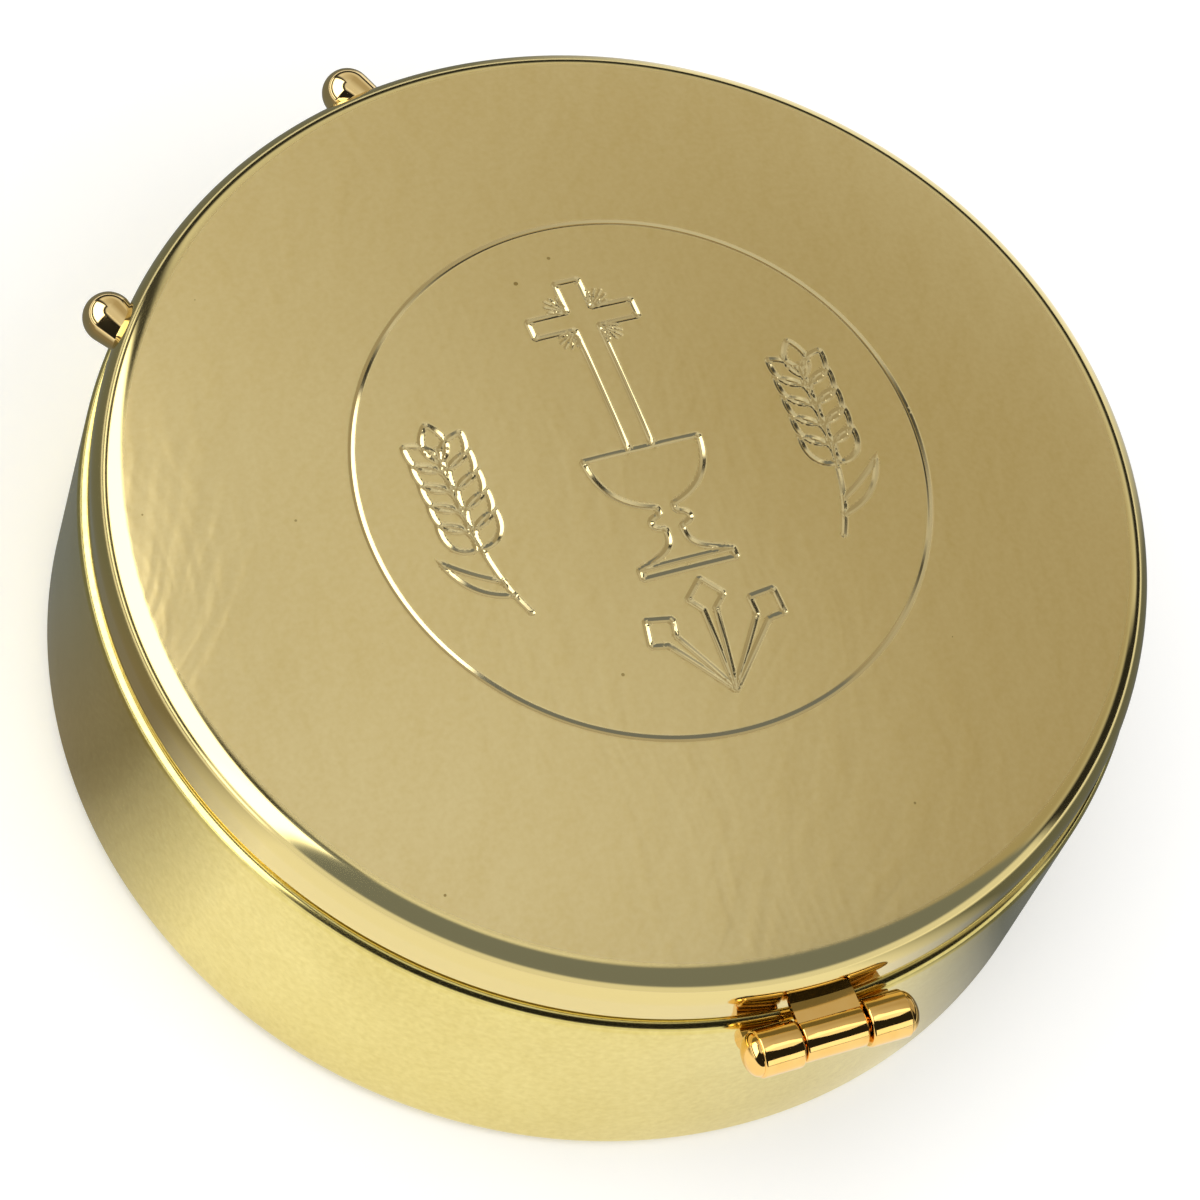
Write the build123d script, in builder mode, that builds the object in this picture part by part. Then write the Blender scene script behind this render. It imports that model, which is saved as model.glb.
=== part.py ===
"""A small hinged pyx: a round box of gilded brass that carries communion hosts.

The base is a drawn cup with a collar fixed inside its mouth.  The domed lid slips over
the collar and turns on a three-knuckle barrel hinge outside the wall.  Two round-ended
studs on the lid's skirt take the thumb and finger that lift it.

Frame: the origin is the centre of the flat underside, +Z is up, and the hinge is at -Y.
"""

import os
from math import copysign, cos, radians, sin, sqrt, tan

from build123d import *

os.makedirs("parts", exist_ok=True)

# Driving dimensions, in millimetres and degrees

# Box
wall_radius = 27.0  # outside of the base
lid_inset = 0.35  # lid's skirt stands in from the base's wall, so the cup's lip shows all round
sheet = 0.8  # thickness of the drawn brass
seam_height = 14.75  # middle of the gap between base and lid
seam_gap = 0.2
base_lip_radius = 0.6  # rounded outer edge of the cup's mouth
lid_lip_radius = 0.4  # rounded outer edge of the skirt's foot
base_corner_radius = 1.0
base_inner_corner = 0.5
lid_skirt = 1.95  # straight skirt, from the middle of the seam to the corner
lid_corner_radius = 1.9
dome_rise = 2.9  # crown above the top of the corner

# Collar inside the mouth
collar_thickness = 0.9
collar_depth = 5.0  # below the seam, fixed to the cup's wall
collar_headroom = 0.5  # between the collar and the start of the lid's corner
collar_bevel = 0.25
lid_clearance = 0.15  # between the collar and the inside of the lid's skirt

# Hinge
knuckle_radius = 1.2
knuckle_length = 2.15
lid_knuckle_radius = 1.05
lid_knuckle_length = 3.3
knuckle_gap = 0.14
knuckle_bevel = 0.12
hinge_stand_off = 0.08  # between the outer knuckles and the wall
pin_radius = 0.5
pin_clearance = 0.04  # in the lid's knuckle, which turns on the pin
cap_depth = 0.65  # domed cap on each end of the hinge
cap_bore_depth = 0.35
bearer_height = 1.85  # foot that carries an outer knuckle, down the wall
lid_bearer_height = 0.85  # short tongue that carries the lid's knuckle, up the skirt
bearer_crest = 0.8  # where the foot's outer face meets the knuckle, as a share of its radius

# Lifting studs
stud_radius = 1.3
stud_lift = 0.2  # lowest point of a stud above the seam
stud_taper = 6.0
stud_reach = 0.78  # centre of a stud's round end outside the skirt
stud_spacing = 18.9
stud_azimuth = 121.0  # direction that both studs point in
shank_radius = 0.5

# Heights and radii that follow
lid_bottom = seam_height + seam_gap / 2
base_top = seam_height - seam_gap / 2
corner_height = seam_height + lid_skirt
crown_height = corner_height + lid_corner_radius + dome_rise
inner_radius = wall_radius - sheet
lid_radius = wall_radius - lid_inset
hinge_y = -(wall_radius + hinge_stand_off + knuckle_radius)
cap_start = lid_knuckle_length / 2 + knuckle_gap + knuckle_length


def finish(piece, name):
    """Label a finished piece and write it under its own name."""
    piece.part.label = name
    export_step(piece.part, f"parts/{name}.step")


# Lid

corner_centre_radius = lid_radius - lid_corner_radius
crown_above_corner = lid_corner_radius + dome_rise
dome_radius = (corner_centre_radius**2 + crown_above_corner**2 - lid_corner_radius**2) / (2 * dome_rise)
dome_centre_height = crown_height - dome_radius


def lid_form(inset, bottom):
    """Solid with the lid's outside, drawn in by an inset and closed flat at its bottom."""
    reach = (dome_radius - inset) / (dome_radius - lid_corner_radius)
    blend_height = dome_centre_height + (corner_height - dome_centre_height) * reach
    with BuildPart() as form:
        with BuildSketch(Plane.XZ):
            with BuildLine():
                floor = Line((0, bottom), (lid_radius - inset, bottom))
                skirt = Line(floor @ 1, (lid_radius - inset, corner_height))
                corner = TangentArc(skirt @ 1, (corner_centre_radius * reach, blend_height), tangent=skirt % 1)
                dome = TangentArc(corner @ 1, (0, crown_height - inset), tangent=corner % 1)
                Line(dome @ 1, floor @ 0)
            make_face()
        revolve(axis=Axis.Z)
    return form.part


lid_inside = lid_form(sheet, lid_bottom)

# Both studs point the same way, so their holes through the skirt are parallel
stud_direction = Vector(cos(radians(stud_azimuth)), sin(radians(stud_azimuth)))
stud_across = Vector(-stud_direction.Y, stud_direction.X)
stud_out = sqrt(lid_radius**2 - (stud_spacing / 2) ** 2) + stud_reach
stud_height = seam_height + stud_lift + stud_radius
stud_hole_depth = 3 * sheet + stud_reach


def stud_centre(side):
    """Centre of a stud's round end; side 1 is the left stud and -1 the right one."""
    place = stud_direction * stud_out + stud_across * (side * stud_spacing / 2)
    return Vector(place.X, place.Y, stud_height)


with BuildPart() as lid_shell:
    add(lid_form(0, lid_bottom))
    fillet(lid_shell.edges().group_by(Axis.Z)[0], lid_lip_radius)
    add(lid_inside, mode=Mode.SUBTRACT)
    for side in (1, -1):
        with BuildSketch(Plane(stud_centre(side), z_dir=stud_direction)):
            Circle(shank_radius)
        extrude(amount=-stud_hole_depth, mode=Mode.SUBTRACT)
finish(lid_shell, "lid_shell")

# Lifting studs: a ball-ended button whose shank fills its hole, flush inside the skirt

stud_slope = radians(stud_taper)
stud_foot = stud_radius * cos(stud_slope) - (stud_hole_depth - stud_radius * sin(stud_slope)) * tan(stud_slope)
for side, name in ((1, "lift_stud_left"), (-1, "lift_stud_right")):
    centre = stud_centre(side)
    with BuildPart() as lift_stud:
        with BuildSketch(Plane(centre, x_dir=stud_direction, z_dir=(0, 0, 1))):
            with BuildLine():
                end = CenterArc((0, 0), stud_radius, 0, 90 + stud_taper)
                Polyline(end @ 1, (-stud_hole_depth, stud_foot), (-stud_hole_depth, 0), end @ 0)
            make_face()
        revolve(axis=Axis(centre, stud_direction))
        add(lid_shell.part, mode=Mode.SUBTRACT)
        add(lid_inside, mode=Mode.SUBTRACT)
    finish(lift_stud, name)

# Base cup

with BuildPart() as base_cup:
    with BuildSketch(Plane.XZ):
        with BuildLine():
            under = Line((0, 0), (wall_radius - base_corner_radius, 0))
            corner = TangentArc(under @ 1, (wall_radius, base_corner_radius), tangent=under % 1)
            wall = Line(corner @ 1, (wall_radius, base_top))
            inner_corner_height = sheet + base_inner_corner
            inside = Polyline(wall @ 1, (inner_radius, base_top), (inner_radius, inner_corner_height))
            floor_edge = (inner_radius - base_inner_corner, sheet)
            inner_corner = TangentArc(inside @ 1, floor_edge, tangent=inside % 1)
            Polyline(inner_corner @ 1, (0, sheet), under @ 0)
        make_face()
    revolve(axis=Axis.Z)
    fillet(base_cup.edges().group_by(Axis.Z)[-1].sort_by(SortBy.RADIUS)[-1], base_lip_radius)
finish(base_cup, "base_cup")

# Collar: a ring against the cup's wall, stepped in where the lid's skirt slips over it

collar_top = corner_height - collar_headroom
with BuildPart() as base_collar:
    with BuildSketch(Plane.XZ):
        with BuildLine():
            bore = inner_radius - collar_thickness
            foot = seam_height - collar_depth
            neck = lid_radius - sheet - lid_clearance
            Polyline(
                (bore, foot),
                (inner_radius, foot),
                (inner_radius, base_top),
                (neck, base_top),
                (neck, collar_top - collar_bevel),
                (neck - collar_bevel, collar_top),
                (bore, collar_top),
                close=True,
            )
        make_face()
    revolve(axis=Axis.Z)
finish(base_collar, "base_collar")

# Hinge: two knuckles on the base, one on the lid between them, and a pin through all three

hinge_axis = Axis((0, hinge_y, seam_height), (1, 0, 0))


def section(x):
    """Plane across the hinge at x, with the hinge's line at its origin and y towards the box."""
    return Plane((x, hinge_y, seam_height), x_dir=(0, 1, 0), z_dir=(1, 0, 0))


def knuckle(start, length, radius, bore):
    """Tube with bevelled ends on the hinge's line."""
    with BuildPart() as tube:
        with BuildSketch(section(start)):
            Circle(radius)
        extrude(amount=length)
        chamfer(tube.edges().filter_by(GeomType.CIRCLE), knuckle_bevel)
        with BuildSketch(section(start)):
            Circle(bore)
        extrude(amount=length, mode=Mode.SUBTRACT)
    return tube


def bearer(start, length, radius, reach, wall, lip):
    """Wedge from a knuckle to a wall with a rounded lip, up or down it as far as its signed reach."""
    wall_line = -hinge_y - wall
    up = copysign(1, reach)
    near = up * (seam_gap / 2 + lip)
    crest = up * bearer_crest * radius
    with BuildPart() as wedge:
        with BuildSketch(section(start)):
            with BuildLine():
                Polyline(
                    (0, near),
                    (wall_line + sheet, near),
                    (wall_line + sheet, reach),
                    (wall_line, reach),
                    (0, crest),
                    close=True,
                )
            make_face()
            Circle(radius, mode=Mode.SUBTRACT)
        extrude(amount=length)
        with BuildSketch():
            Circle(wall)
        extrude(amount=crown_height, mode=Mode.SUBTRACT)
    return wedge


lid_knuckle_start = -lid_knuckle_length / 2
finish(
    knuckle(lid_knuckle_start, lid_knuckle_length, lid_knuckle_radius, pin_radius + pin_clearance),
    "hinge_knuckle_centre",
)
lid_bearer = bearer(
    lid_knuckle_start, lid_knuckle_length, lid_knuckle_radius, lid_bearer_height, lid_radius, lid_lip_radius
)
finish(lid_bearer, "lid_bearer")

for start, hand in ((-cap_start, "left"), (cap_start - knuckle_length, "right")):
    finish(knuckle(start, knuckle_length, knuckle_radius, pin_radius), f"hinge_knuckle_{hand}")
    base_bearer = bearer(start, knuckle_length, knuckle_radius, -bearer_height, wall_radius, base_lip_radius)
    finish(base_bearer, f"base_bearer_{hand}")

pin_half = cap_start + cap_bore_depth
with BuildPart() as hinge_pin:
    with BuildSketch(section(-pin_half)):
        Circle(pin_radius)
    extrude(amount=2 * pin_half)
finish(hinge_pin, "hinge_pin")

# Domed caps close the ends of the hinge and hold the pin
for way, hand in ((-1, "left"), (1, "right")):
    with BuildPart() as hinge_cap:
        with BuildSketch(Plane((way * cap_start, hinge_y, seam_height), x_dir=(way, 0, 0), z_dir=(0, -way, 0))):
            with BuildLine():
                rim = knuckle_radius - knuckle_bevel
                dome = EllipticalCenterArc((0, 0), cap_depth, rim, start_angle=0, arc_size=90)
                Polyline(
                    dome @ 1,
                    (0, pin_radius),
                    (cap_bore_depth, pin_radius),
                    (cap_bore_depth, 0),
                    dome @ 0,
                )
            make_face()
        revolve(axis=hinge_axis)
    finish(hinge_cap, f"hinge_cap_{hand}")
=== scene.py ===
# %% [markdown]
# # A small hinged pyx in gilded brass
# A pyx is a round box, small enough for a pocket, in which communion hosts are carried.
# This one is a drawn cup with a collar inside its mouth, a domed lid with an engraved
# medallion, a three-knuckle hinge at the front and two round-ended studs that lift the lid.
# The solids arrive as a fixed frame.  Here every piece gets the surface that shows.

# %% Load the frame and keep its box
import math

import bmesh
import bpy
from mathutils import Matrix, Vector, geometry


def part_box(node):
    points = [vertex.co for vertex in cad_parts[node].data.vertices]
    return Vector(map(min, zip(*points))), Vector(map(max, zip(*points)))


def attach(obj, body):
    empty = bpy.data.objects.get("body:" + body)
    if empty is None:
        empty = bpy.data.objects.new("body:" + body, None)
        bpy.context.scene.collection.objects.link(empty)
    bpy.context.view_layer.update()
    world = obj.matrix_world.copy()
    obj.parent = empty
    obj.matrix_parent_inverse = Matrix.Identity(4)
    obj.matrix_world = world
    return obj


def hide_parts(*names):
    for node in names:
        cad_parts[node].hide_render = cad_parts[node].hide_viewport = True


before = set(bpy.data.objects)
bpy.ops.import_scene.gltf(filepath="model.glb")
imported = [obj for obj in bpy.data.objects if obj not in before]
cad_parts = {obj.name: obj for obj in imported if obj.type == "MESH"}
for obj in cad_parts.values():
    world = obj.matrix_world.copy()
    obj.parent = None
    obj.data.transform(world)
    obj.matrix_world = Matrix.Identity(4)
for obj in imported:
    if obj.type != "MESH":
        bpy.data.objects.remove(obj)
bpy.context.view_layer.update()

# %% [markdown]
# ## Sizes
# All lengths are in metres, so a millimetre gets a name.  Sizes that the solids show are read
# from their boxes; the bend radii of the sheet are repeated here, because a box doesn't show them.

# %% Sizes of the box
mm = 0.001
cup_low, cup_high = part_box("base_cup")
lid_low, lid_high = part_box("lid_shell")
collar_low, collar_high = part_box("base_collar")

wall_radius = cup_high.x
sheet = 0.8 * mm
inner_radius = wall_radius - sheet
lid_radius = lid_high.x
lid_inner = lid_radius - sheet
cup_lip = 0.6 * mm
skirt_lip = 0.4 * mm
cup_corner = 1.0 * mm
cup_inner_corner = 0.5 * mm
lid_corner = 1.9 * mm
dome_rise = 2.9 * mm
corner_height = lid_high.z - dome_rise - lid_corner
corner_centre = lid_radius - lid_corner
dome_radius = (corner_centre**2 + (lid_corner + dome_rise) ** 2 - lid_corner**2) / (2 * dome_rise)
dome_centre = lid_high.z - dome_radius
print("wall radius", round(wall_radius / mm, 2), "mm; lid radius", round(lid_radius / mm, 2), "mm")

# %% [markdown]
# ## Two helpers
# Colours are written as the sRGB hex values that a colour picker shows, and Blender's sockets
# want linear light, so one function converts them.  One more function adds a node to any tree.
# A socket given to it as a value becomes a link, and anything else becomes the input's number.


# %% Helpers for colours and nodes
def linear(hex_colour):
    """An sRGB hex colour as linear red, green, blue and alpha."""
    shares = [int(hex_colour[place : place + 2], 16) / 255 for place in (1, 3, 5)]
    return [s / 12.92 if s <= 0.04045 else ((s + 0.055) / 1.055) ** 2.4 for s in shares] + [1.0]


def add_node(tree, kind, inputs=None, **settings):
    """Add a node of a kind with its settings, values and links."""
    made = tree.nodes.new(kind)
    for name, value in settings.items():
        setattr(made, name, value)
    for socket, value in (inputs or {}).items():
        if isinstance(value, bpy.types.NodeSocket):
            tree.links.new(value, made.inputs[socket])
        else:
            made.inputs[socket].default_value = value
    return made


print("a middle grey reads", [round(c, 3) for c in linear("#808080")])

# %% [markdown]
# ## Satin gilt
# The top of the lid is gilded brass that was buffed with a soft mop: it scatters the light a
# little, so it looks tan and even, with faint curved mop marks and a few pits in the plating.
# The mop marks are noise stretched and bent, about 7 mm long and 0.8 mm wide.
# Past the turn of the lid the same sheet is polished, so the finish changes with the radius, and
# the engraving's bright cuts are marked by an attribute that the engraving tree writes. The cuts also get a
# darker gold, which is painted shade in the grooves.
# Both gilt sheets have pits, so a function lays pits over any colour.


# %% Satin gilt material
def new_finish(name):
    """A material with its node tree cleared; returns the material, its tree and its shader."""
    finish = bpy.data.materials.new(name)
    finish.use_nodes = True
    tree = finish.node_tree
    tree.nodes.clear()
    shader = add_node(tree, "ShaderNodeBsdfPrincipled", {"Metallic": 1.0})
    add_node(tree, "ShaderNodeOutputMaterial", {"Surface": shader.outputs[0]})
    return finish, tree, shader


def with_pits(tree, place, gilt, spacing, lightest, widest):
    """A colour with small pits laid over it, where the brass under the plating shows.

    Pits lie about one spacing apart.  Those below the lightest weight are left out, and the
    widest radius is a share of the spacing.
    """
    spots = add_node(tree, "ShaderNodeTexVoronoi", {"Vector": place, "Scale": 1 / spacing}).outputs
    weight = add_node(tree, "ShaderNodeSeparateColor", {0: spots["Color"]}).outputs[0]
    width = add_node(
        tree, "ShaderNodeMapRange", {"Value": weight, "From Min": lightest, "To Max": widest}
    ).outputs[0]
    pit = add_node(tree, "ShaderNodeMath", {0: spots["Distance"], 1: width}, operation="LESS_THAN").outputs[0]
    pits = add_node(tree, "ShaderNodeMath", {0: pit, 1: weight}, operation="MULTIPLY").outputs[0]
    brass = linear("#a58d52")
    return add_node(tree, "ShaderNodeMix", {0: pits, 6: gilt, 7: brass}, data_type="RGBA").outputs[2]


satin_gilt, tree, shader = new_finish("satin_gilt")
place = add_node(tree, "ShaderNodeTexCoord").outputs["Object"]

# How polished a point is: 0 on the buffed top, 1 in the cuts, on the turn and on the skirt
flat = add_node(tree, "ShaderNodeVectorMath", {0: place, 1: (1, 1, 0)}, operation="MULTIPLY").outputs[0]
radius = add_node(tree, "ShaderNodeVectorMath", {0: flat}, operation="LENGTH").outputs["Value"]
turn_start = corner_centre + 0.42 * mm
turn_end = corner_centre + 0.75 * mm
rim = add_node(
    tree,
    "ShaderNodeMapRange",
    {"Value": radius, "From Min": turn_start, "From Max": turn_end},
    interpolation_type="SMOOTHSTEP",
).outputs[0]
cut = add_node(tree, "ShaderNodeAttribute", attribute_name="cut").outputs["Fac"]
polished = add_node(tree, "ShaderNodeMath", {0: rim, 1: cut}, operation="MAXIMUM").outputs[0]

# Tone drifts slowly over the top, and a fine grain lies over it
cloud_size = 16 * mm
grain_size = 0.3 * mm
cloud = add_node(
    tree, "ShaderNodeTexNoise", {"Vector": place, "Scale": 1 / cloud_size, "Detail": 2.0}
).outputs["Fac"]
grain = add_node(
    tree, "ShaderNodeTexNoise", {"Vector": place, "Scale": 1 / grain_size, "Detail": 1.0}
).outputs["Fac"]

# Mop marks: noise stretched along two headings, on coordinates that drift by a few millimetres
swirl_size = 11 * mm
swirl_drift = 5 * mm
swirl = add_node(
    tree, "ShaderNodeTexNoise", {"Vector": place, "Scale": 1 / swirl_size, "Detail": 1.0}
).outputs["Color"]
centred = add_node(
    tree, "ShaderNodeVectorMath", {0: swirl, 1: (0.5, 0.5, 0.5)}, operation="SUBTRACT"
).outputs[0]
shift = add_node(
    tree, "ShaderNodeVectorMath", {0: centred, "Scale": swirl_drift}, operation="SCALE"
).outputs[0]
bent = add_node(tree, "ShaderNodeVectorMath", {0: place, 1: shift}, operation="ADD").outputs[0]
mark_length = 7 * mm
mark_width = 0.8 * mm
mark_headings = (50, 85)
marks = []
for heading in mark_headings:
    turned_back = add_node(
        tree,
        "ShaderNodeVectorRotate",
        {"Vector": bent, "Angle": -math.radians(heading)},
        rotation_type="Z_AXIS",
    ).outputs[0]
    stretched = add_node(
        tree,
        "ShaderNodeVectorMath",
        {0: turned_back, 1: (1 / mark_length, 1 / mark_width, 1 / mark_length)},
        operation="MULTIPLY",
    ).outputs[0]
    mark = add_node(tree, "ShaderNodeTexNoise", {"Vector": stretched, "Scale": 1.0, "Detail": 1.0})
    marks.append(mark.outputs["Fac"])
mop = add_node(tree, "ShaderNodeMath", {0: marks[0], 1: marks[1]}, operation="MULTIPLY").outputs[0]

# The cloud, the mop marks and the grain together move the colour between two close golds
broad = add_node(tree, "ShaderNodeMath", {0: cloud, 1: mop}, operation="ADD").outputs[0]
tone = add_node(tree, "ShaderNodeMath", {0: broad, 1: grain}, operation="ADD").outputs[0]
drift = add_node(tree, "ShaderNodeMapRange", {"Value": tone, "From Min": 0.75, "From Max": 1.75}).outputs[0]
buffed = add_node(
    tree,
    "ShaderNodeMix",
    {0: drift, 6: linear("#ead69b"), 7: linear("#e2cb8b")},
    data_type="RGBA",
).outputs[2]
pitted = with_pits(tree, place, buffed, spacing=2.4 * mm, lightest=0.4, widest=0.05)
skirt_gilt = linear("#dfcc8b")
# Painted shade: the engraved grooves get a darker gold than the buffed top
shaded_cut_gilt = linear("#d8c692")
edged = add_node(tree, "ShaderNodeMix", {0: rim, 6: pitted, 7: skirt_gilt}, data_type="RGBA").outputs[2]
gilt = add_node(tree, "ShaderNodeMix", {0: cut, 6: edged, 7: shaded_cut_gilt}, data_type="RGBA").outputs[2]
tree.links.new(gilt, shader.inputs["Base Color"])

rough_top = add_node(
    tree,
    "ShaderNodeMapRange",
    {"Value": cloud, "From Min": 0.3, "From Max": 0.7, "To Min": 0.285, "To Max": 0.32},
).outputs[0]
polished_rough = 0.09
rough = add_node(tree, "ShaderNodeMix", {0: polished, 2: rough_top, 3: polished_rough}).outputs[0]
tree.links.new(rough, shader.inputs["Roughness"])

# Mop marks and grain as bump, which dies away where the sheet is polished
ripple_depth = 0.07 * mm
grain_depth = 0.0012 * mm
calm = add_node(tree, "ShaderNodeMapRange", {"Value": polished, "To Min": 0.5, "To Max": 0.0}).outputs[0]
wavy = add_node(
    tree, "ShaderNodeBump", {"Height": mop, "Strength": calm, "Distance": ripple_depth}
).outputs[0]
bump = add_node(
    tree, "ShaderNodeBump", {"Height": grain, "Strength": calm, "Distance": grain_depth, "Normal": wavy}
).outputs[0]
tree.links.new(bump, shader.inputs["Normal"])
print(satin_gilt.name, "with", len(tree.nodes), "nodes")

# %% [markdown]
# ## Polished gilt and bright gilt
# The cup and the collar were polished on the lathe: paler, and almost a mirror, with very fine
# lines round the axis.  Real ones are about 0.02 mm apart, too fine to show, so these are 0.25 mm.
# The plating over them has a fine grain and a few pits, fewer and smaller than the lid's.
# The hinge came out of the plating bath with a thicker, redder gold, and the studs with a paler one.
# Both stay a clean mirror with a few faint rubs.

# %% Polished and bright gilt materials
polished_gilt, tree, shader = new_finish("polished_gilt")
place = add_node(tree, "ShaderNodeTexCoord").outputs["Object"]
lathe_line = 0.25 * mm
lathe_run = 30 * mm
stretched = add_node(
    tree, "ShaderNodeMapping", {"Vector": place, "Scale": (1 / lathe_run, 1 / lathe_run, 1 / lathe_line)}
).outputs[0]
lathe_marks = add_node(
    tree, "ShaderNodeTexNoise", {"Vector": stretched, "Scale": 1.0, "Detail": 2.0}
).outputs["Fac"]
wall_cloud_size = 9 * mm
peel_size = 0.35 * mm
cloud = add_node(
    tree, "ShaderNodeTexNoise", {"Vector": place, "Scale": 1 / wall_cloud_size, "Detail": 2.0}
).outputs["Fac"]
peel = add_node(
    tree, "ShaderNodeTexNoise", {"Vector": place, "Scale": 1 / peel_size, "Detail": 1.0}
).outputs["Fac"]
tone = add_node(tree, "ShaderNodeMath", {0: cloud, 1: peel}, operation="ADD").outputs[0]
drift = add_node(tree, "ShaderNodeMapRange", {"Value": tone, "From Min": 0.6, "From Max": 1.4}).outputs[0]
gilt = add_node(
    tree, "ShaderNodeMix", {0: drift, 6: linear("#e5d58a"), 7: linear("#d6c373")}, data_type="RGBA"
).outputs[2]
pitted = with_pits(tree, place, gilt, spacing=4 * mm, lightest=0.5, widest=0.03)
tree.links.new(pitted, shader.inputs["Base Color"])
rough = add_node(
    tree,
    "ShaderNodeMapRange",
    {"Value": cloud, "From Min": 0.3, "From Max": 0.7, "To Min": 0.13, "To Max": 0.18},
).outputs[0]
tree.links.new(rough, shader.inputs["Roughness"])
lathe_depth = 0.004 * mm
bump = add_node(
    tree, "ShaderNodeBump", {"Height": lathe_marks, "Strength": 0.1, "Distance": lathe_depth}
).outputs[0]
tree.links.new(bump, shader.inputs["Normal"])


def mirror_gilt(name, light, deep):
    """Mirror-bright plating between two close golds, with rubs about 0.8 mm across."""
    finish, tree, shader = new_finish(name)
    place = add_node(tree, "ShaderNodeTexCoord").outputs["Object"]
    rub_size = 0.8 * mm
    rubs = add_node(
        tree, "ShaderNodeTexNoise", {"Vector": place, "Scale": 1 / rub_size, "Detail": 3.0}
    ).outputs["Fac"]
    gilt = add_node(
        tree, "ShaderNodeMix", {0: rubs, 6: linear(light), 7: linear(deep)}, data_type="RGBA"
    ).outputs[2]
    tree.links.new(gilt, shader.inputs["Base Color"])
    rough = add_node(
        tree,
        "ShaderNodeMapRange",
        {"Value": rubs, "From Min": 0.35, "From Max": 0.7, "To Min": 0.04, "To Max": 0.09},
    ).outputs[0]
    tree.links.new(rough, shader.inputs["Roughness"])
    return finish


bright_gilt = mirror_gilt("bright_gilt", "#f7cf82", "#efbf68")
stud_gilt = mirror_gilt("stud_gilt", "#f6dca0", "#eccb86")
print("finishes:", satin_gilt.name, polished_gilt.name, bright_gilt.name, stud_gilt.name)

# %% [markdown]
# ## Turned pieces
# The cup, the collar, the lid, the knuckles, the caps and the studs are all round about one
# line, so each is a half profile carried round an axis.  A Geometry Nodes tree does that: it
# lays out a grid with one column for each step, looks up the profile's point for each row and
# swings it round.  The rows that fall on the axis, and the seam, are merged afterwards.

# %% Geometry Nodes tree that turns a profile
turned = bpy.data.node_groups.new("turned piece", "GeometryNodeTree")
turned.is_modifier = True
for name, kind in (("Profile", "Geometry"), ("Steps", "Int"), ("Finish", "Material")):
    turned.interface.new_socket(name, in_out="INPUT", socket_type="NodeSocket" + kind)
turned.interface.new_socket("Piece", in_out="OUTPUT", socket_type="NodeSocketGeometry")

given = add_node(turned, "NodeGroupInput").outputs
rows = add_node(turned, "GeometryNodeAttributeDomainSize", {0: given["Profile"]}).outputs["Point Count"]
columns = add_node(turned, "ShaderNodeMath", {0: given["Steps"], 1: 1.0}, operation="ADD").outputs[0]
grid = add_node(turned, "GeometryNodeMeshGrid", {"Vertices X": columns, "Vertices Y": rows}).outputs["Mesh"]
index = add_node(turned, "GeometryNodeInputIndex").outputs[0]
row = add_node(turned, "ShaderNodeMath", {0: index, 1: rows}, operation="MODULO").outputs[0]
past = add_node(turned, "ShaderNodeMath", {0: index, 1: rows}, operation="DIVIDE").outputs[0]
column = add_node(turned, "ShaderNodeMath", {0: past}, operation="FLOOR").outputs[0]
step = add_node(turned, "ShaderNodeMath", {0: 2 * math.pi, 1: given["Steps"]}, operation="DIVIDE").outputs[0]
angle = add_node(turned, "ShaderNodeMath", {0: column, 1: step}, operation="MULTIPLY").outputs[0]
position = add_node(turned, "GeometryNodeInputPosition").outputs[0]
point = add_node(
    turned,
    "GeometryNodeSampleIndex",
    {"Geometry": given["Profile"], "Value": position, "Index": row},
    data_type="FLOAT_VECTOR",
).outputs[0]
swung = add_node(
    turned, "ShaderNodeVectorRotate", {"Vector": point, "Angle": angle}, rotation_type="Z_AXIS"
).outputs[0]
placed = add_node(turned, "GeometryNodeSetPosition", {"Geometry": grid, "Position": swung}).outputs[0]
merged = add_node(turned, "GeometryNodeMergeByDistance", {"Geometry": placed, "Distance": 1e-6}).outputs[0]
smooth = add_node(turned, "GeometryNodeSetShadeSmooth", {"Geometry": merged, "Shade Smooth": True}).outputs[0]
real = add_node(turned, "GeometryNodeRealizeInstances", {0: smooth}).outputs[0]
finished = add_node(
    turned, "GeometryNodeSetMaterial", {"Geometry": real, "Material": given["Finish"]}
).outputs[0]
add_node(turned, "NodeGroupOutput", {0: finished})
print(turned.name, "tree with", len(turned.nodes), "nodes")

# %% [markdown]
# The next functions run a tree on a mesh and keep its result as a plain mesh.  A tree's inputs
# are set by their identifiers before the object is first evaluated, and the object that held
# the modifier is removed, so no modifier is left on a finished piece.


# %% Running a tree and finishing a piece
def result_of(tree, source, values):
    """The mesh that a node tree makes from a source mesh."""
    holder = bpy.data.objects.new("holder", source)
    bpy.context.scene.collection.objects.link(holder)
    modifier = holder.modifiers.new(tree.name, "NODES")
    modifier.node_group = tree
    for item in tree.interface.items_tree:
        if item.in_out == "INPUT" and item.name in values:
            modifier[item.identifier] = values[item.name]
    graph = bpy.context.evaluated_depsgraph_get()
    made = bpy.data.meshes.new_from_object(holder.evaluated_get(graph))
    bpy.data.objects.remove(holder)
    return made


def face_outwards(mesh):
    """Recalculate the normals of a closed mesh."""
    work = bmesh.new()
    work.from_mesh(mesh)
    bmesh.ops.recalc_face_normals(work, faces=work.faces)
    work.to_mesh(mesh)
    work.free()


def turn(profile, finish, steps):
    """A closed turned mesh from a profile of (radius, height) points, faces pointing outwards."""
    source = bpy.data.meshes.new("profile")
    source.from_pydata([(r, 0, z) for r, z in profile], [], [])
    made = result_of(turned, source, {"Steps": steps, "Finish": finish})
    face_outwards(made)
    return made


def arc(centre, size, start, end, count):
    """Points along an arc of a profile; angles in degrees from outwards to upwards."""
    across, up = size if isinstance(size, tuple) else (size, size)
    angles = [math.radians(start + (end - start) * i / count) for i in range(count + 1)]
    return [(centre[0] + across * math.cos(a), centre[1] + up * math.sin(a)) for a in angles]


def run(start, end, count):
    """Points along a straight stretch of a profile, without its two ends."""
    shares = [i / count for i in range(1, count)]
    return [(start[0] + (end[0] - start[0]) * s, start[1] + (end[1] - start[1]) * s) for s in shares]


crease = math.radians(32)


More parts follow.
